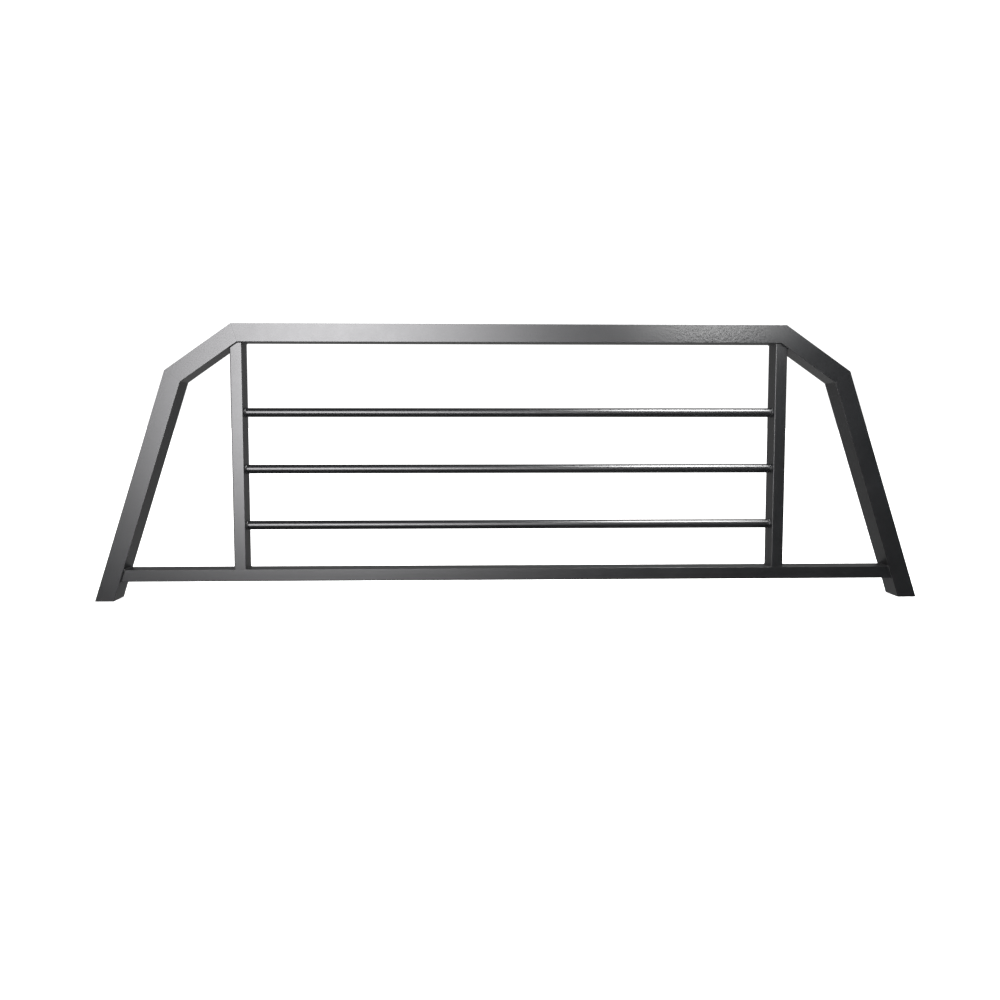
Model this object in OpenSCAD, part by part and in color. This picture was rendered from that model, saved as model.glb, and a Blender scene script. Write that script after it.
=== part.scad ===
// Cab guard ladder rack for a pickup truck.
//
// A welded steel frame that stands on the two bed rails behind the cab. A
// crossbar, two sloping shoulders and two leaning legs of one rectangular tube
// make the arch. Two uprights, a bottom rail and three round rails fill it.
// Each foot is closed by a plate with a nut welded above it, which takes the
// bolt of the truck's own bed rail bracket.
//
// X runs across the truck, Y from the front face to the back face and Z up.
// The origin is midway between the feet, on the plane that they stand on.
// All sizes are in millimetres. The tubes are inch sizes.

/* [Arch] */
// Width over the two feet
overall_w = 1776; // [1650:1:1850]
// Height from the feet to the top of the crossbar
overall_h = 588; // [540:1:660]
// Height of the sloping shoulder between the crossbar and the leg
shoulder_h = 98; // [80:1:120]
// Slope of the shoulder below the horizontal, in degrees
shoulder_slope = 35; // [30:1:42]
// Lean of the leg away from the vertical, in degrees
leg_lean = 18; // [14:1:20]

/* [Arch tube] */
// Face of the tube, seen from the front
arch_face = 38.1; // [36:0.1:45]
// Depth of the tube, from front to back
arch_depth = 63.5; // [57:0.1:76]
// Wall of the tube
arch_wall = 2.1; // [1.6:0.1:2.4]
// Outer corner radius of the tube
arch_radius = 1; // [0.6:0.1:2.5]

/* [Infill tube] */
// Face of the uprights and of the bottom rail, seen from the front
infill_face = 25.4; // [20:0.1:32]
// Depth of the uprights and of the bottom rail
infill_depth = 50.8; // [38:0.1:52]
// Wall of the infill tube
infill_wall = 1.65; // [1.2:0.05:1.7]
// Outer corner radius of the infill tube
infill_radius = 1; // [0.6:0.1:2]
// Distance of an upright's centre outwards from the crossbar's inner corner
upright_offset = 3.7; // [-6:0.1:6]
// Height of the bottom rail's underside above the feet
bottom_rail_z = 41; // [35:1:60]

/* [Round rails] */
// Outer diameter of a round rail
rail_d = 19.05; // [16:0.05:25.4]
// Wall of a round rail
rail_wall = 1.65; // [1.2:0.05:2.4]
// Height of the lowest round rail's centre above the feet
rail_low_z = 159.5; // [140:0.5:170]
// Distance between the centres of neighbouring round rails
rail_pitch = 121.2; // [100:0.1:125]

/* [Feet] */
// Thickness of the plate that closes the foot
foot_plate_t = 6.35; // [5:0.05:8]
// Clearance hole for the bracket bolt
bolt_hole_d = 14.3; // [13.5:0.1:15]
// Bore of the weld nut, at the crests of a half inch thread
nut_bore_d = 10.8; // [10.5:0.1:11]
// Width of the weld nut across its flats
nut_flats = 19.05; // [18:0.05:20]
// Height of the weld nut
nut_h = 11.1; // [9:0.1:12]

/* [Welds] */
// Leg of the fillet welds
fillet = 2; // [1.5:0.1:3]
// Root gap of the mitred joints, filled by the butt weld
root_gap = 1.6; // [1:0.1:2.5]
// Width and depth of the groove weld round a foot plate
foot_groove = 2.5; // [2:0.1:3]
// Leg of the tack welds at a weld nut
tack = 2.5; // [1.5:0.1:3]

/* [Hidden] */
$fn = 64;

coat = "#2e3032";          // satin black powder coat
bare_steel = "#8c9096";    // zinc plated nut
margin = 20;               // how far a cutting shape runs past what it cuts
plate_clearance = 0.3;     // round a foot plate, inside the leg
tack_len = nut_flats / 4;

// Corner points of the right half of the arch, as [x, z] on its outer edge.
foot_pt = [overall_w / 2, 0];
leg_top_z = overall_h - shoulder_h;
leg_pt = [foot_pt.x - leg_top_z * tan(leg_lean), leg_top_z];
top_pt = [leg_pt.x - shoulder_h / tan(shoulder_slope), overall_h];

// Half of the turn at each mitre, which is the mitre's angle.
top_mitre = shoulder_slope / 2;
leg_mitre = (90 - leg_lean - shoulder_slope) / 2;

// Inner edge of the arch, as [x, z].
underside_z = overall_h - arch_face;
top_in = [top_pt.x - arch_face * tan(top_mitre), underside_z];
foot_in = [foot_pt.x - arch_face / cos(leg_lean), 0];
leg_along = [sin(leg_lean), -cos(leg_lean)];
leg_in_len = leg_top_z / cos(leg_lean) - arch_face * (tan(leg_lean) + tan(leg_mitre));
leg_in = foot_in - leg_in_len * leg_along;

foot_x = (foot_pt.x + foot_in.x) / 2;
upright_x = top_in.x + upright_offset;
upright_in = upright_x - infill_face / 2;
upright_out = upright_x + infill_face / 2;
rail_deck_z = bottom_rail_z + infill_face;
rail_z = [for (i = [2:-1:0]) rail_low_z + i * rail_pitch];

// ---- helpers ----

module left() {
    mirror([1, 0, 0]) children();
}

// Turns a shape drawn in X and Y into one that stands in X and Z, d deep and centred on Y.
module stand(d) {
    rotate([90, 0, 0]) linear_extrude(d, center = true) children();
}

module round_rect(w, d, r) {
    difference() {
        square([w, d], center = true);
        for (i = [-1, 1], j = [-1, 1])
            translate([i * w / 2, j * d / 2]) difference() {
                square(2 * r, center = true);
                translate([-i * r, -j * r]) circle(r);
            }
    }
}

// What cuts a hole of diameter d through h either side of z = 0.
module drill(h, d) {
    cylinder(h = 2 * h + margin, d = d, center = true);
}

// Section of a rectangular tube, face wide in X and depth deep in Y, square inside.
module tube_section(face, depth, wall, radius) {
    difference() {
        round_rect(face, depth, radius);
        square([face - 2 * wall, depth - 2 * wall], center = true);
    }
}

// The arch's inside, as seen from the front.
module arch_inside() {
    polygon([
        foot_in, leg_in, top_in,
        [-top_in.x, top_in.y], [-leg_in.x, leg_in.y], [-foot_in.x, foot_in.y],
    ]);
}

// Puts children drawn along +X, with the arch's outer edge at z = 0, onto the edge that starts at a.
module along_edge(a, angle) {
    translate([a.x, 0, a.y]) rotate([0, angle, 0]) children();
}

// The stretch of a bar below the edge z = 0 between two slanted ends. The ends cross the edge at
// xa and xb, and run inwards at angles ha and hb from square.
module mitred(xa, ha, xb, hb) {
    top = margin;
    low = -arch_face - margin;
    intersection() {
        children();
        stand(arch_depth + margin) polygon([
            [xa - top * tan(ha), top], [xb + top * tan(hb), top],
            [xb + low * tan(hb), low], [xa - low * tan(ha), low],
        ]);
    }
}

// A long bar of arch tube along X, its outer edge at z = 0, from x = -margin to length + margin.
module arch_bar(length) {
    translate([-margin, 0, -arch_face / 2]) rotate([90, 0, 90])
        linear_extrude(length + 2 * margin) rotate(90)
            tube_section(arch_face, arch_depth, arch_wall, arch_radius);
}

// An arch tube between mitres, held back from each mitre's plane by half the root gap.
module arch_tube(length, ha, hb, gap_b = root_gap / 2) {
    mitred(root_gap / 2 / cos(ha), ha, length - gap_b / cos(hb), hb) arch_bar(length);
}

// The half of a butt weld that continues a tube at its start, and the half at its end.
module butt_start(h) {
    mitred(0, h, root_gap / 2 / cos(h), -h) arch_bar(margin);
}

module butt_end(length, h) {
    mitred(length - root_gap / 2 / cos(h), -h, length, h) arch_bar(length);
}

// A fillet weld along Y in the corner at [x, z], between the directions a and b in degrees.
module fillet_y(at, a, b, length) {
    translate([at.x, 0, at.y]) stand(length) polygon([
        [0, 0], fillet * [cos(a), sin(a)], fillet * [cos(b), sin(b)],
    ]);
}

// Fillet welds on the steps at the front and the back of an infill tube, along the arch's inner
// edge from p to q, with the arch on the left. They run on into the arch until arch_inside cuts them.
module fillet_step(p, q) {
    dir = atan2(q.y - p.y, q.x - p.x);
    for (side = [0, 1]) mirror([0, side, 0])
        translate([p.x, -infill_depth / 2, p.y]) rotate([0, -dir, 0])
            rotate([90, 0, 90]) linear_extrude(norm(q - p))
                polygon([[0, -fillet], [0, fillet], [-2 * fillet, fillet]]);
}

// Keeps what lies inside the arch.
module inside_arch() {
    intersection() {
        stand(arch_depth + margin) arch_inside();
        children();
    }
}

// ---- arch ----

shoulder_len = norm(leg_pt - top_pt);
leg_len = norm(foot_pt - leg_pt);
leg_dir = 90 - leg_lean;

module top_tube() {
    color(coat)
        along_edge([-top_pt.x, top_pt.y], 0) arch_tube(2 * top_pt.x, top_mitre, top_mitre);
}

module shoulder_tube() {
    color(coat)
        along_edge(top_pt, shoulder_slope) arch_tube(shoulder_len, top_mitre, leg_mitre);
}

module leg() {
    color(coat)
        along_edge(leg_pt, leg_dir) arch_tube(leg_len, leg_mitre, leg_lean, 0);
}

module weld_crossbar_mitre() {
    color(coat) {
        along_edge([-top_pt.x, top_pt.y], 0) butt_end(2 * top_pt.x, top_mitre);
        along_edge(top_pt, shoulder_slope) butt_start(top_mitre);
    }
}

module weld_leg_mitre() {
    color(coat) {
        along_edge(top_pt, shoulder_slope) butt_end(shoulder_len, leg_mitre);
        along_edge(leg_pt, leg_dir) butt_start(leg_mitre);
    }
}

// ---- infill ----

module upright() {
    color(coat) inside_arch()
        translate([upright_x, 0, rail_deck_z]) linear_extrude(overall_h - rail_deck_z)
            tube_section(infill_face, infill_depth, infill_wall, infill_radius);
}

module bottom_rail() {
    color(coat) inside_arch()
        translate([-overall_w / 2, 0, bottom_rail_z + infill_face / 2]) rotate([90, 0, 90])
            linear_extrude(overall_w) rotate(90)
                tube_section(infill_face, infill_depth, infill_wall, infill_radius);
}

module round_rail(z) {
    color(coat) translate([0, 0, z]) rotate([0, 90, 0]) difference() {
        cylinder(h = 2 * upright_in, d = rail_d, center = true);
        drill(2 * upright_in, rail_d - 2 * rail_wall);
    }
}

// A ring of fillet weld where a round rail meets the upright's inner face.
module weld_round_rail(z) {
    color(coat) translate([upright_in, 0, z]) rotate([0, -90, 0]) rotate_extrude()
        polygon([[rail_d / 2, 0], [rail_d / 2 + fillet, 0], [rail_d / 2, fillet]]);
}

// Fillets on both flanks and along the front and back steps, where an upright meets the arch.
module weld_upright_top() {
    cope_z = underside_z - (upright_out - top_in.x) * tan(shoulder_slope);
    flank = infill_depth - 2 * infill_radius;
    color(coat) {
        fillet_y([upright_in, underside_z], 180, 270, flank);
        fillet_y([upright_out, cope_z], -shoulder_slope, 270, flank);
        inside_arch() {
            fillet_step([upright_in + infill_radius, underside_z], top_in + [fillet, 0]);
            fillet_step(
                top_in + fillet * [-cos(shoulder_slope), sin(shoulder_slope)],
                [upright_out - infill_radius, cope_z + infill_radius * tan(shoulder_slope)]
            );
        }
    }
}

// Fillets on both flanks of an upright's foot, on top of the bottom rail.
module weld_upright_base() {
    flank = infill_depth - 2 * infill_radius;
    color(coat) {
        fillet_y([upright_in, rail_deck_z], 180, 90, flank);
        fillet_y([upright_out, rail_deck_z], 0, 90, flank);
    }
}

// Fillets above, below and along the front and back steps, where the bottom rail meets a leg.
module weld_bottom_rail() {
    function leg_face(z) = [foot_in.x - z * tan(leg_lean), z];
    flank = infill_depth - 2 * infill_radius;
    up = 90 + leg_lean;
    color(coat) {
        fillet_y(leg_face(rail_deck_z), up, 180, flank);
        fillet_y(leg_face(bottom_rail_z), up + 180, 180, flank);
        inside_arch() fillet_step(
            leg_face(rail_deck_z - infill_radius),
            leg_face(bottom_rail_z + infill_radius)
        );
    }
}

// ---- feet ----

// The hollow of the leg between z = 0 and z = h, drawn in by inset on every side.
module leg_hollow(h, inset) {
    face = arch_face - 2 * (arch_wall + inset);
    depth = arch_depth - 2 * (arch_wall + inset);
    intersection() {
        along_edge(leg_pt, leg_dir) translate([leg_len / 2, 0, -arch_face / 2])
            rotate([90, 0, 90]) linear_extrude(leg_len)
                square([depth, face], center = true);
        translate([foot_x - arch_face, -arch_depth / 2, 0])
            cube([2 * arch_face, arch_depth, h]);
    }
}

module foot_plate() {
    color(coat) difference() {
        union() {
            leg_hollow(foot_plate_t, foot_groove);
            intersection() {
                leg_hollow(foot_plate_t, plate_clearance);
                translate([foot_x, 0, foot_groove + foot_plate_t / 2])
                    cube([2 * arch_face, arch_depth, foot_plate_t], center = true);
            }
        }
        translate([foot_x, 0, 0]) drill(foot_plate_t, bolt_hole_d);
    }
}

module weld_foot_plate() {
    color(coat) difference() {
        leg_hollow(foot_groove, 0);
        leg_hollow(foot_groove + margin, foot_groove);
    }
}

module foot_nut() {
    color(bare_steel) translate([foot_x, 0, foot_plate_t]) difference() {
        rotate(30) cylinder(h = nut_h, d = nut_flats / cos(30), $fn = 6);
        drill(nut_h, nut_bore_d);
    }
}

// Three tacks, on every second flat of the nut.
module weld_foot_nut() {
    color(coat) translate([foot_x, 0, foot_plate_t])
        for (turn = [0, 120, 240]) rotate(turn)
            translate([nut_flats / 2, 0, 0]) stand(tack_len)
                polygon([[0, 0], [tack, 0], [0, tack]]);
}

top_tube();
left() shoulder_tube();  // shoulder_tube_left
shoulder_tube();  // shoulder_tube_right
left() leg();  // leg_left
leg();  // leg_right
left() upright();  // upright_left
upright();  // upright_right
bottom_rail();
round_rail(rail_z[0]);  // rail_upper
round_rail(rail_z[1]);  // rail_middle
round_rail(rail_z[2]);  // rail_lower
left() foot_plate();  // foot_plate_left
foot_plate();  // foot_plate_right
left() foot_nut();  // foot_nut_left
foot_nut();  // foot_nut_right
left() weld_crossbar_mitre();  // weld_crossbar_mitre_left
weld_crossbar_mitre();  // weld_crossbar_mitre_right
left() weld_leg_mitre();  // weld_leg_mitre_left
weld_leg_mitre();  // weld_leg_mitre_right
left() weld_upright_top();  // weld_upright_top_left
weld_upright_top();  // weld_upright_top_right
left() weld_upright_base();  // weld_upright_base_left
weld_upright_base();  // weld_upright_base_right
left() weld_bottom_rail();  // weld_bottom_rail_left
weld_bottom_rail();  // weld_bottom_rail_right
left() weld_round_rail(rail_z[0]);  // weld_rail_upper_left
weld_round_rail(rail_z[0]);  // weld_rail_upper_right
left() weld_round_rail(rail_z[1]);  // weld_rail_middle_left
weld_round_rail(rail_z[1]);  // weld_rail_middle_right
left() weld_round_rail(rail_z[2]);  // weld_rail_lower_left
weld_round_rail(rail_z[2]);  // weld_rail_lower_right
left() weld_foot_plate();  // weld_foot_plate_left
weld_foot_plate();  // weld_foot_plate_right
left() weld_foot_nut();  // weld_foot_nut_left
weld_foot_nut();  // weld_foot_nut_right
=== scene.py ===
"""Looks of the cab guard ladder rack: a welded tube frame under satin black powder coat.

Every tube and weld that shows is rebuilt here, finer than the CAD has it, on its CAD node's
outline. The feet's plates, nuts and hidden welds keep their CAD meshes. Lengths are in metres.
"""

import math

import bmesh
import bpy
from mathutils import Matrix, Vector, noise


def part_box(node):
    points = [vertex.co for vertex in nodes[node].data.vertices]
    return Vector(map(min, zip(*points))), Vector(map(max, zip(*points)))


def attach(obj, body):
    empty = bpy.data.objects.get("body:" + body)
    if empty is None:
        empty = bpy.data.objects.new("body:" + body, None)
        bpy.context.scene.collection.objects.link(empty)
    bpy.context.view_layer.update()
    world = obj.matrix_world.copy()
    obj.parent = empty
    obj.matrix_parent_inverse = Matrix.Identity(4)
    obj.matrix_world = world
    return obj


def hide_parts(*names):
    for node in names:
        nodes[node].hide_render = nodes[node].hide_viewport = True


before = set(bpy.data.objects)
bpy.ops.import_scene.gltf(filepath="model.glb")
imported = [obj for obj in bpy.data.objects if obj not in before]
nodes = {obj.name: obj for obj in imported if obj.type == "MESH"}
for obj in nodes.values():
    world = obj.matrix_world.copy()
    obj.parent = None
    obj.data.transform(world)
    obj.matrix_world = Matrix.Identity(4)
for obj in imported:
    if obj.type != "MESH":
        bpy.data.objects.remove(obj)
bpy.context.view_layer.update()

MM = 0.001
SIDES = ("left", "right")
RAILS = ("rail_upper", "rail_middle", "rail_lower")

# ---- tubes ----

ARCH_WALL, INFILL_WALL, RAIL_WALL = 2.1 * MM, 1.65 * MM, 1.65 * MM
ARCH_RADIUS, UPRIGHT_RADIUS, BOTTOM_RADIUS = 0.5 * MM, 1.8 * MM, 0.5 * MM
INNER_RADIUS = 0.4 * MM
CORNER_STEPS = 8        # round each corner of a section
FACE_STEPS = 8          # across each face of a section
ROUND_STEPS = 72        # round a round rail
CROWN = 0.001           # how far a face bulges, as a share of the tube's width across it
NOT_A_CORNER = 0.03 * MM    # an outline point that stands out by less is dropped
SIDE_MARGIN = 0.15 * MM     # a tube's end edges are looked up this far in from its sides

# ---- welds ----

FILLET_LEG = 2.0 * MM
BEAD_STEP = 0.45 * MM   # between neighbouring stations along a bead
BEAD_ACROSS = 8         # strips across a bead's face
BEAD_BULGE = 0.3 * MM
BEAD_WANDER = 0.1       # how much a bead's width wanders
BEAD_END = 0.35         # the width of an open bead's very end, as a share of the leg
ROOT_DEPTH = 0.6 * MM   # how far a bead reaches under the faces that it joins
RIPPLE_PITCH = 1.9 * MM
RIPPLE_DEPTH = 0.16 * MM
RIPPLE_LAG = 0.45       # how far a ripple's middle trails its ends, as a share of the pitch
SEAM_STRIPS = 4
SEAM_SINK = 0.06 * MM

SHARP_ANGLE = math.radians(40)  # edges that turn by more stay sharp


# ==== meshes ====

def make_piece(name, verts, faces, edge, material, replaced):
    """A piece on body root, shaded smooth but for its cut edges. edge is 1 where the coat wears."""
    mesh = bpy.data.meshes.new(name)
    shape = bmesh.new()
    made = [shape.verts.new(v) for v in verts]
    for f in faces:
        shape.faces.new([made[i] for i in f])
    bmesh.ops.recalc_face_normals(shape, faces=shape.faces)
    shape.to_mesh(mesh)
    shape.free()
    mesh.shade_smooth()
    mesh.set_sharp_from_angle(angle=SHARP_ANGLE)
    mesh.attributes.new("edge", "FLOAT", "POINT").data.foreach_set("value", edge)
    mesh.materials.append(material)
    piece = bpy.data.objects.new(name, mesh)
    bpy.context.scene.collection.objects.link(piece)
    weighted = piece.modifiers.new("even_normals", "WEIGHTED_NORMAL")
    weighted.keep_sharp = True
    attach(piece, "root")
    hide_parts(*replaced)


def loop_faces(first, second, count):
    """Quads between two rings of count points, whose first points are first and second."""
    return [
        (first + i, first + (i + 1) % count, second + (i + 1) % count, second + i)
        for i in range(count)
    ]


def turn(a, b, c):
    """Twice the area of a triangle, above 0 if it turns left from a through b to c."""
    return (b[0] - a[0]) * (c[1] - b[1]) - (b[1] - a[1]) * (c[0] - b[0])


def outline(node):
    """Corners of a node seen from the front, as (x, z) vectors in order round it."""
    points = sorted({(v.co.x, v.co.z) for v in nodes[node].data.vertices})

    def chain(run):
        kept = []
        for p in run:
            while len(kept) > 1 and turn(kept[-2], kept[-1], p) <= 0:
                kept.pop()
            kept.append(p)
        return kept[:-1]

    corners = [Vector(p) for p in chain(points) + chain(points[::-1])]

    def height(i):
        before, after = corners[i - 1], corners[(i + 1) % len(corners)]
        return turn(before, corners[i], after) / (after - before).length

    while True:
        flattest = min(range(len(corners)), key=height)
        if height(flattest) > NOT_A_CORNER:
            return corners
        del corners[flattest]


class Bar:
    """A straight tube, measured on its CAD node.

    along and across are unit (x, z) vectors. u runs across the tube from its near side, v is
    the place in depth, and t the place along it.
    """

    def __init__(self, node, along, across, wall, radius):
        self.node = node
        self.wall = wall
        self.radius = radius
        self.along = Vector(along).normalized()
        self.across = Vector(across).normalized()
        self.corners = outline(node)
        low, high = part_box(node)
        self.depth = high.y - low.y
        places = [p.dot(self.across) for p in self.corners]
        self.near = min(places)
        self.face = max(places) - self.near

    def reach(self, u):
        """Where the outline starts and ends at u, each as (t, direction of that edge)."""
        level = min(max(u, SIDE_MARGIN), self.face - SIDE_MARGIN) + self.near
        found = []
        for i, p in enumerate(self.corners):
            q = self.corners[(i + 1) % len(self.corners)]
            p_at, q_at = p.dot(self.across), q.dot(self.across)
            if (p_at > level) != (q_at > level):
                edge = (q - p) / (q_at - p_at)
                point = p + edge * (u + self.near - p_at)
                found.append((point.dot(self.along), edge.normalized()))
        found.sort(key=lambda f: f[0])
        return found[0], found[-1]

    def breaks(self):
        """The u of the outline's corners that don't lie on either side."""
        places = [p.dot(self.across) - self.near for p in self.corners]
        to_side = 0.05 * self.face
        return [u for u in places if to_side < u < self.face - to_side]

    def place(self, u, v, t):
        flat = self.along * t + self.across * (self.near + u)
        return Vector((flat.x, v, flat.y))

    def direction(self, nu, nv):
        return Vector((self.across.x * nu, nv, self.across.y * nu))

    def loop(self, inset, radius):
        """Points round the tube, as (u, v, normal's u, normal's v, edge). The faces bulge.

        A point moves so that one lies at each of the outline's corners.
        """
        sag_u, sag_v = self.depth * CROWN, self.face * CROWN
        middle = self.face / 2
        side_u, side_v = middle - inset, self.depth / 2 - inset
        half_u, half_v = side_u - radius - sag_u, side_v - radius - sag_v
        steps = [2 * i / FACE_STEPS - 1 for i in range(1, FACE_STEPS)]
        cuts = list(steps)
        for u in self.breaks():
            at = (u - middle) / half_u
            nearest = min(range(len(cuts)), key=lambda i: abs(cuts[i] - at))
            cuts[nearest] = at
        points = []

        def corner(du, dv, starts):
            for i in range(CORNER_STEPS + 1):
                a = math.radians(starts + 90 * i / CORNER_STEPS)
                nu, nv = math.cos(a), math.sin(a)
                u, v = middle + du * half_u + radius * nu, dv * half_v + radius * nv
                points.append((u, v, nu, nv, 1.0))

        corner(1, 1, 0)
        for s in reversed(cuts):
            points.append((middle + s * half_u, side_v - sag_v * s * s, 0, 1, 0.0))
        corner(-1, 1, 90)
        for s in reversed(steps):
            points.append((middle - side_u + sag_u * s * s, s * half_v, -1, 0, 0.0))
        corner(-1, -1, 180)
        for s in cuts:
            points.append((middle + s * half_u, -side_v + sag_v * s * s, 0, -1, 0.0))
        corner(1, -1, 270)
        for s in steps:
            points.append((middle + side_u - sag_u * s * s, s * half_v, 1, 0, 0.0))
        return points

    def ring(self, points, end):
        """A section's points where the tube starts (end 0) or ends (end 1)."""
        return [self.place(p[0], p[1], self.reach(p[0])[end][0]) for p in points]

    def section(self):
        return self.loop(0.0, self.radius)

    def inner_section(self):
        return self.loop(self.wall, INNER_RADIUS)


def tube(bar, material):
    """A bar as an open tube with walls."""
    outer, inner = bar.section(), bar.inner_section()
    rings = [bar.ring(outer, 0), bar.ring(outer, 1), bar.ring(inner, 1), bar.ring(inner, 0)]
    count = len(outer)
    faces = []
    for k in range(4):
        faces += loop_faces(k * count, (k + 1) % 4 * count, count)
    edge = [p[4] for p in outer] * 2 + [0.0] * count * 2
    verts = [p for ring in rings for p in ring]
    make_piece("visual_" + bar.node, verts, faces, edge, material, [bar.node])


def seam(node, before, after, material):
    """The ground butt weld between the end of one arch tube and the start of the next."""
    outer, inner = before.section(), before.inner_section()
    start, end = before.ring(outer, 1), after.ring(outer, 0)
    verts = []
    for k in range(SEAM_STRIPS + 1):
        share = k / SEAM_STRIPS
        hollow = SEAM_SINK * math.sin(math.pi * share)
        for a, b, p in zip(start, end, outer):
            point = a.lerp(b, share)
            uneven = 0.7 + 0.3 * noise.noise(point * 400)
            verts.append(point - before.direction(p[2], p[3]) * hollow * uneven)
    verts += after.ring(inner, 0) + before.ring(inner, 1)
    count = len(outer)
    rings = SEAM_STRIPS + 3
    faces = []
    for k in range(rings):
        faces += loop_faces(k * count, (k + 1) % rings * count, count)
    edge = [p[4] for p in outer] * (SEAM_STRIPS + 1) + [0.0] * count * 2
    make_piece("visual_" + node, verts, faces, edge, material, [node])


# ---- fillet beads ----

def ripple(phase):
    """The profile of one ripple of a bead: a quick rise and a slow fall, between 0 and 1."""
    part = phase % 1.0
    return math.sin(math.pi * part ** 0.6) ** 1.4


def bead_mesh(stations, closed):
    """Verts, faces and edge of a bead.

    A station is (root, direction along the first face, direction along the other).
    """
    lengths = [0.0]
    looped = stations + stations[:1] if closed else stations
    for a, b in zip(looped, looped[1:]):
        lengths.append(lengths[-1] + (b[0] - a[0]).length)
    count = max(8, round(lengths[-1] / BEAD_STEP))
    pitch = lengths[-1] / max(1, round(lengths[-1] / RIPPLE_PITCH))
    verts, edge, at = [], [], 0
    for i in range(count if closed else count + 1):
        run = lengths[-1] * i / count
        while at < len(lengths) - 2 and lengths[at + 1] < run:
            at += 1
        share = (run - lengths[at]) / max(lengths[at + 1] - lengths[at], 1e-9)
        root, one, two = (p.lerp(q, share) for p, q in zip(looped[at], looped[at + 1]))
        one.normalize()
        two.normalize()
        leg = FILLET_LEG * (1 + BEAD_WANDER * noise.noise(root * 250))
        if not closed:
            from_end = max(0.0, min(run, lengths[-1] - run)) / FILLET_LEG
            leg *= min(1.0, BEAD_END + (1 - BEAD_END) * math.sqrt(from_end))
        out = (one + two).normalized()
        for j in range(BEAD_ACROSS + 1):
            t = j / BEAD_ACROSS
            arch = 4 * t * (1 - t)
            wave = ripple(run / pitch + RIPPLE_LAG * arch)
            lift = (BEAD_BULGE * arch + wave * RIPPLE_DEPTH * arch) * leg / FILLET_LEG
            verts.append(root + (one * (1 - t) + two * t) * leg + out * lift)
            edge.append(0.5 * arch * wave)
        verts.append(root + two * leg - one * ROOT_DEPTH)
        verts.append(root - (one + two) * ROOT_DEPTH)
        verts.append(root + one * leg - two * ROOT_DEPTH)
        edge += [0.0] * 3
    ring = BEAD_ACROSS + 4
    rings = len(verts) // ring
    faces = []
    for i in range(rings if closed else rings - 1):
        faces += loop_faces(i * ring, (i + 1) % rings * ring, ring)
    if not closed:
        faces += [tuple(range(ring)), tuple((rings - 1) * ring + k for k in range(ring))]
    return verts, faces, edge


def bead(node, runs, material):
    """The fillet beads of one weld node. A run is (stations, closed)."""
    verts, faces, edge = [], [], []
    for stations, closed in runs:
        more_verts, more_faces, more_edge = bead_mesh(stations, closed)
        faces += [tuple(i + len(verts) for i in f) for f in more_faces]
        verts += more_verts
        edge += more_edge
    make_piece("visual_" + node, verts, faces, edge, material, [node])


def end_stations(bar, at_end):
    """Stations round the end of an infill tube, where it stands on the face of another tube."""
    stations = []
    for u, v, nu, nv, _ in bar.section():
        t, along_face = bar.reach(u)[1 if at_end else 0]
        back = bar.along * (-1 if at_end else 1)
        if along_face.dot(bar.across) < 0:
            along_face = -along_face
        outward = Vector((along_face.x * nu, nv, along_face.y * nu))
        stations.append((bar.place(u, v, t), Vector((back.x, 0, back.y)), outward))
    return stations


def ring_stations(x, inward, centre, radius):
    """Stations round the end of a round rail on an upright's flat side."""
    stations = []
    for i in range(ROUND_STEPS):
        a = math.tau * i / ROUND_STEPS
        out = Vector((0, math.cos(a), math.sin(a)))
        root = Vector((x, centre.y, centre.z)) + out * radius
        stations.append((root, Vector((inward, 0, 0)), out))
    return stations


def round_tube(node, material):
    """A round rail as an open tube with walls."""
    low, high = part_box(node)
    centre = (low + high) / 2
    radius = (high.z - low.z) / 2
    bore = radius - RAIL_WALL
    verts = []
    for x, r in ((low.x, radius), (high.x, radius), (high.x, bore), (low.x, bore)):
        for i in range(ROUND_STEPS):
            a = math.tau * i / ROUND_STEPS
            verts.append(Vector((x, centre.y + r * math.cos(a), centre.z + r * math.sin(a))))
    faces = []
    for k in range(4):
        faces += loop_faces(k * ROUND_STEPS, (k + 1) % 4 * ROUND_STEPS, ROUND_STEPS)
    make_piece("visual_" + node, verts, faces, [0.0] * len(verts), material, [node])


# ==== materials ====

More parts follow.
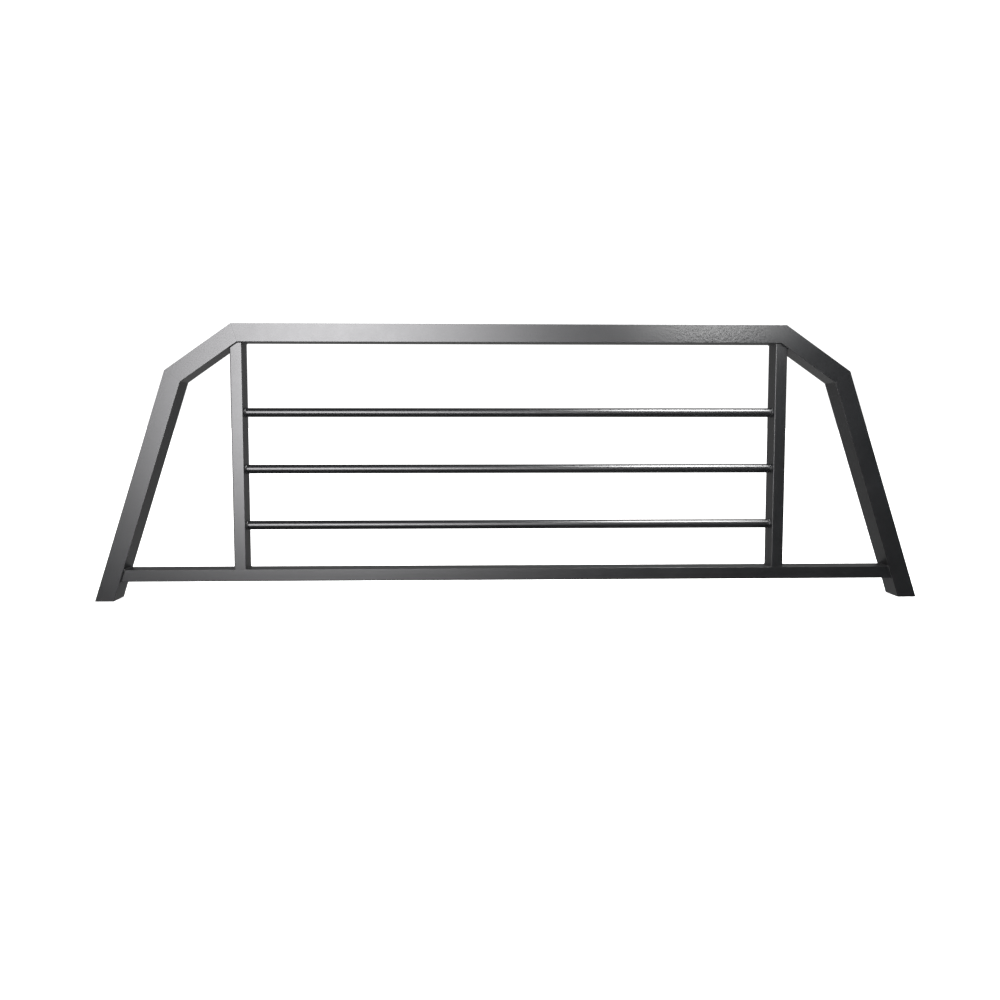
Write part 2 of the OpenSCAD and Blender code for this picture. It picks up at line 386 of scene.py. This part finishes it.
class Nodes:
    """A material's node tree, with short calls for the nodes that it needs."""

    def __init__(self, name):
        self.material = bpy.data.materials.new(name)
        self.material.use_nodes = True
        self.tree = self.material.node_tree
        self.shader = self.tree.nodes["Principled BSDF"]
        self.place = self.tree.nodes.new("ShaderNodeTexCoord").outputs["Object"]

    def link(self, out, into):
        self.tree.links.new(out, into)

    def noise(self, scale, detail=2.0, rough=0.5):
        node = self.tree.nodes.new("ShaderNodeTexNoise")
        node.inputs["Scale"].default_value = scale
        node.inputs["Detail"].default_value = detail
        node.inputs["Roughness"].default_value = rough
        self.link(self.place, node.inputs["Vector"])
        return node.outputs["Fac"]

    def spread(self, value, low, high, to_low, to_high):
        node = self.tree.nodes.new("ShaderNodeMapRange")
        node.inputs["From Min"].default_value = low
        node.inputs["From Max"].default_value = high
        node.inputs["To Min"].default_value = to_low
        node.inputs["To Max"].default_value = to_high
        self.link(value, node.inputs["Value"])
        return node.outputs["Result"]

    def axes(self):
        node = self.tree.nodes.new("ShaderNodeSeparateXYZ")
        self.link(self.place, node.inputs["Vector"])
        return node.outputs

    def math(self, how, a, b):
        node = self.tree.nodes.new("ShaderNodeMath")
        node.operation = how
        for socket, value in zip(node.inputs, (a, b)):
            if isinstance(value, (int, float)):
                socket.default_value = value
            else:
                self.link(value, socket)
        return node.outputs["Value"]

    def mix(self, share, a, b):
        node = self.tree.nodes.new("ShaderNodeMix")
        node.data_type = "RGBA"
        self.link(share, node.inputs["Factor"])
        for key, value in (("A", a), ("B", b)):
            socket = next(s for s in node.inputs if s.name == key and s.type == "RGBA")
            if isinstance(value, tuple):
                socket.default_value = (*value, 1)
            else:
                self.link(value, socket)
        return next(s for s in node.outputs if s.type == "RGBA")

    def bump(self, height, depth, below=None):
        node = self.tree.nodes.new("ShaderNodeBump")
        node.inputs["Distance"].default_value = depth
        node.inputs["Strength"].default_value = 1.0
        self.link(height, node.inputs["Height"])
        if below is not None:
            self.link(below, node.inputs["Normal"])
        return node.outputs["Normal"]

    def attribute(self, name):
        node = self.tree.nodes.new("ShaderNodeAttribute")
        node.attribute_name = name
        return node.outputs["Fac"]


COAT_DARK = (0.0016, 0.0018, 0.0021)
COAT_LIGHT = (0.0032, 0.0035, 0.0040)
COAT_SPECK = (0.008, 0.0085, 0.009)
COAT_WORN = (0.020, 0.020, 0.020)
COAT_ROUGHNESS, WELD_ROUGHNESS = 0.32, 0.34
ROUGHNESS_SPREAD = 0.012
PEEL = 0.02 * MM        # depth of the orange peel

# The crossbar has coarser peel near its right end. It sets in over the first x, fades out over
# the second, and starts above the round rails over the z.
COARSE_PEEL = 20 * PEEL
COARSE_FROM, COARSE_TO, COARSE_ABOVE = (0.22, 0.38), (0.52, 0.57), (0.53, 0.54)

ZINC_DARK, ZINC_LIGHT = (0.48, 0.49, 0.51), (0.62, 0.63, 0.64)


def powder_coat(name, roughness):
    """Satin black powder coat: clouded, finely speckled, with orange peel and rubbed edges."""
    n = Nodes(name)
    cloud = n.spread(n.noise(9, 4), 0.3, 0.7, 0, 1)
    colour = n.mix(cloud, COAT_DARK, COAT_LIGHT)
    speck = n.spread(n.noise(1400, 2), 0.62, 0.72, 0, 0.6)
    colour = n.mix(speck, colour, COAT_SPECK)
    rubbed = n.math("MULTIPLY", n.attribute("edge"), n.spread(n.noise(70, 5, 0.7), 0.5, 0.75, 0, 1))
    colour = n.mix(n.math("MULTIPLY", rubbed, 0.3), colour, COAT_WORN)
    n.link(colour, n.shader.inputs["Base Color"])
    low, high = roughness - ROUGHNESS_SPREAD, roughness + ROUGHNESS_SPREAD
    uneven = n.spread(n.noise(35, 4, 0.6), 0.3, 0.7, low, high)
    worn_rough = n.math("ADD", uneven, n.math("MULTIPLY", rubbed, -0.02))
    n.link(worn_rough, n.shader.inputs["Roughness"])
    flow = n.bump(n.noise(260, 3), PEEL * 0.25)
    fine = n.bump(n.noise(700, 2), PEEL * 0.3, flow)
    x, _, z = n.axes()
    patch = n.math("MULTIPLY", n.spread(x, *COARSE_FROM, 0, 1), n.spread(x, *COARSE_TO, 1, 0))
    patch = n.math("MULTIPLY", patch, n.spread(z, *COARSE_ABOVE, 0, 1))
    coarse = n.bump(n.math("MULTIPLY", n.noise(180, 1), patch), COARSE_PEEL, fine)
    n.link(coarse, n.shader.inputs["Normal"])
    n.shader.inputs["IOR"].default_value = 1.5
    n.shader.inputs["Specular IOR Level"].default_value = 0.8
    return n.material


def zinc(name):
    """Zinc plating: pale grey, faintly mottled, with fine tumbling marks."""
    n = Nodes(name)
    mottle = n.spread(n.noise(160, 4, 0.6), 0.3, 0.7, 0, 1)
    n.link(n.mix(mottle, ZINC_DARK, ZINC_LIGHT), n.shader.inputs["Base Color"])
    n.link(n.spread(n.noise(420, 3), 0.3, 0.7, 0.32, 0.46), n.shader.inputs["Roughness"])
    n.link(n.bump(n.noise(900, 3), 0.02 * MM), n.shader.inputs["Normal"])
    n.shader.inputs["Metallic"].default_value = 1.0
    return n.material


coat = powder_coat("powder_coat", COAT_ROUGHNESS)
weld_coat = powder_coat("weld_under_coat", WELD_ROUGHNESS)
plating = zinc("zinc_plated_steel")


# ==== the rack ====

def arch_bars():
    """The arch's five tubes from left to right, each with its outer edge at u = 0."""
    names = ["leg_left", "shoulder_tube_left", "top_tube", "shoulder_tube_right", "leg_right"]
    bars = []
    for name in names:
        corners = outline(name)
        sides = [corners[(i + 1) % len(corners)] - p for i, p in enumerate(corners)]
        along = max(sides, key=lambda s: s.length)
        if along.x < 0:
            along = -along
        inward = Vector((along.y, -along.x))
        bars.append(Bar(name, along, inward, ARCH_WALL, ARCH_RADIUS))
    return bars


def build_arch():
    bars = arch_bars()
    for bar in bars:
        tube(bar, coat)
    joints = ["leg_mitre_left", "crossbar_mitre_left", "crossbar_mitre_right", "leg_mitre_right"]
    for joint, before, after in zip(joints, bars, bars[1:]):
        seam("weld_" + joint, before, after, weld_coat)


def build_infill():
    bottom = Bar("bottom_rail", (1, 0), (0, 1), INFILL_WALL, BOTTOM_RADIUS)
    tube(bottom, coat)
    for side in SIDES:
        upright = Bar(f"upright_{side}", (0, 1), (1, 0), INFILL_WALL, UPRIGHT_RADIUS)
        tube(upright, coat)
        bead(f"weld_upright_top_{side}", [(end_stations(upright, True), True)], weld_coat)
        foot = end_stations(upright, False)
        flanks = []
        for sign in (-1, 1):
            flank = [s for s in foot if s[2].x * sign > 0.9]
            flank.sort(key=lambda s: s[0].y)
            flanks.append((flank, False))
        bead(f"weld_upright_base_{side}", flanks, weld_coat)
        stations = end_stations(bottom, side == "right")
        bead(f"weld_bottom_rail_{side}", [(stations, True)], weld_coat)


def build_rails():
    for rail in RAILS:
        round_tube(rail, coat)
        low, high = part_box(rail)
        centre = (low + high) / 2
        radius = (high.z - low.z) / 2
        for side, x, inward in (("left", low.x, 1), ("right", high.x, -1)):
            stations = ring_stations(x, inward, centre, radius)
            bead(f"weld_{rail}_{side}", [(stations, True)], weld_coat)


def dress_feet():
    """The feet's own CAD meshes, with softened edges and finished materials."""
    finishes = {
        "foot_plate": coat,
        "foot_nut": plating,
        "weld_foot_plate": weld_coat,
        "weld_foot_nut": weld_coat,
    }
    for name, material in finishes.items():
        for side in SIDES:
            node = nodes[f"{name}_{side}"]
            node.data.materials.clear()
            node.data.materials.append(material)
            rounding = node.modifiers.new("soft_edges", "BEVEL")
            rounding.width = 0.3 * MM
            rounding.segments = 2
            rounding.limit_method = "ANGLE"
            rounding.angle_limit = SHARP_ANGLE


build_arch()
build_infill()
build_rails()
dress_feet()


# ==== studio ====

FLOOR_GLOW = 0.7        # the pale table is lit from below as well
FLOOR_HALF, FLOOR_DROP = 60.0, 0.5 * MM
FLOOR_DARK, FLOOR_LIGHT = (0.90, 0.90, 0.90), (0.93, 0.93, 0.93)


def make_floor():
    mesh = bpy.data.meshes.new("floor")
    corners = ((-1, -1), (1, -1), (1, 1), (-1, 1))
    verts = [(x * FLOOR_HALF, y * FLOOR_HALF, -FLOOR_DROP) for x, y in corners]
    mesh.from_pydata(verts, [], [(0, 1, 2, 3)])
    floor = bpy.data.objects.new("floor", mesh)
    bpy.context.scene.collection.objects.link(floor)
    n = Nodes("pale_floor")
    n.link(n.mix(n.noise(3, 4), FLOOR_DARK, FLOOR_LIGHT), n.shader.inputs["Base Color"])
    n.shader.inputs["Roughness"].default_value = 0.9
    n.shader.inputs["Specular IOR Level"].default_value = 0.0
    n.shader.inputs["Emission Color"].default_value = (1, 1, 1, 1)
    n.shader.inputs["Emission Strength"].default_value = FLOOR_GLOW
    mesh.materials.append(n.material)
    floor.visible_glossy = False
    floor.visible_shadow = False


def soften(light, across, down):
    """Fades a softbox to nothing at its rims, over these shares of its width and height."""
    light.use_nodes = True
    tree = light.node_tree
    place = tree.nodes.new("ShaderNodeNewGeometry").outputs["Parametric"]
    axes = tree.nodes.new("ShaderNodeSeparateXYZ")
    tree.links.new(place, axes.inputs["Vector"])
    product = tree.nodes.new("ShaderNodeMath")
    product.operation = "MULTIPLY"
    for i, share in enumerate((across, down)):
        to_rim = tree.nodes.new("ShaderNodeMath")
        to_rim.operation = "PINGPONG"
        to_rim.inputs[1].default_value = 0.5
        tree.links.new(axes.outputs[i], to_rim.inputs[0])
        fade = tree.nodes.new("ShaderNodeMapRange")
        fade.interpolation_type = "SMOOTHSTEP"
        fade.inputs["From Max"].default_value = share
        tree.links.new(to_rim.outputs["Value"], fade.inputs["Value"])
        tree.links.new(fade.outputs["Result"], product.inputs[i])
    tree.links.new(product.outputs["Value"], tree.nodes["Emission"].inputs["Strength"])


def softbox(name, place, target, width, height, radiance, rims=None, tint=(1, 1, 1)):
    """A rectangular light at place, turned to target, of that radiance at its middle.

    rims are the shares of its width and height over which it fades out, and tint is its colour.
    """
    light = bpy.data.lights.new(name, "AREA")
    light.color = tint
    light.shape = "RECTANGLE"
    light.size, light.size_y = width, height
    light.energy = radiance * math.pi * width * height
    if rims:
        soften(light, *rims)
    lamp = bpy.data.objects.new(name, light)
    bpy.context.scene.collection.objects.link(lamp)
    lamp.visible_camera = False
    lamp.location = place
    lamp.rotation_euler = (Vector(target) - Vector(place)).to_track_quat("-Z", "Y").to_euler()


WALLS_SEEN = 1.2        # how bright the white studio is to the eye and on the floor

# What the coat mirrors of the studio, whose front is hidden by black flags: the direction of each
# wall, how far the view turns to it when it starts to show and is in full, and its radiance.
WALLS_MIRRORED = (
    ((0, 0.75, 0.66), -0.1, 1.0, 0.20),         # back, above
    ((0, 0.80, -0.60), 0.88, 0.98, 0.22),       # back, at the floor
    ((-0.80, 0.60, -0.1), 0.90, 0.98, 0.60),    # back left
    ((0.80, 0.60, -0.1), 0.90, 0.98, 0.60),     # back right
    ((-1, 0, 0), 0.85, 0.98, 0.40),             # left
    ((1, 0, 0), 0.85, 0.98, 0.40),              # right
)


def make_world():
    world = bpy.data.worlds.new("studio")
    bpy.context.scene.world = world
    world.use_nodes = True
    tree = world.node_tree
    walls = tree.nodes["Background"]
    walls.inputs["Color"].default_value = (1, 1, 1, 1)
    way = tree.nodes.new("ShaderNodeTexCoord").outputs["Generated"]

    def wall(direction, starts, full, radiance):
        """Brightness that grows from none to radiance as the view turns to a direction."""
        facing = tree.nodes.new("ShaderNodeVectorMath")
        facing.operation = "DOT_PRODUCT"
        facing.inputs[1].default_value = direction
        tree.links.new(way, facing.inputs[0])
        grow = tree.nodes.new("ShaderNodeMapRange")
        grow.inputs["From Min"].default_value = starts
        grow.inputs["From Max"].default_value = full
        grow.inputs["To Max"].default_value = radiance
        tree.links.new(facing.outputs["Value"], grow.inputs["Value"])
        return grow.outputs["Result"]

    def sum_of(a, b):
        node = tree.nodes.new("ShaderNodeMath")
        tree.links.new(a, node.inputs[0])
        tree.links.new(b, node.inputs[1])
        return node.outputs["Value"]

    mirrored = wall(*WALLS_MIRRORED[0])
    for other in WALLS_MIRRORED[1:]:
        mirrored = sum_of(mirrored, wall(*other))
    level = tree.nodes.new("ShaderNodeMapRange")
    level.inputs["To Min"].default_value = WALLS_SEEN
    tree.links.new(mirrored, level.inputs["To Max"])
    path = tree.nodes.new("ShaderNodeLightPath")
    tree.links.new(path.outputs["Is Glossy Ray"], level.inputs["Value"])
    tree.links.new(level.outputs["Result"], walls.inputs["Strength"])


def make_camera():
    data = bpy.data.cameras.new("camera")
    data.lens, data.sensor_width = 35, 36
    camera = bpy.data.objects.new("camera", data)
    camera.location = (-0.095, -2.107, 0.3814)
    camera.rotation_euler = (math.radians(85.42), 0, math.radians(-1.955))
    bpy.context.scene.collection.objects.link(camera)
    bpy.context.scene.camera = camera


make_floor()
make_world()
make_camera()
softbox(
    "key_front_left", (-0.76, -2.50, 0.867), (-0.76, 0, 0.867), 2.437, 2.334, 15.1,
    rims=(0.5, 0.25), tint=(1.0, 0.991, 1.011),
)
softbox("overhead_right", (0.61, -0.402, 1.251), (0.61, 0, 0.3), 0.49, 0.644, 34.3)
softbox(
    "kicker_right", (0.50, -0.34, 0.621), (0.45, 0, 0.57), 0.56, 0.05, 13.2,
    rims=(0.5, 0.05),
)
bpy.context.scene.view_settings.view_transform = "Standard"
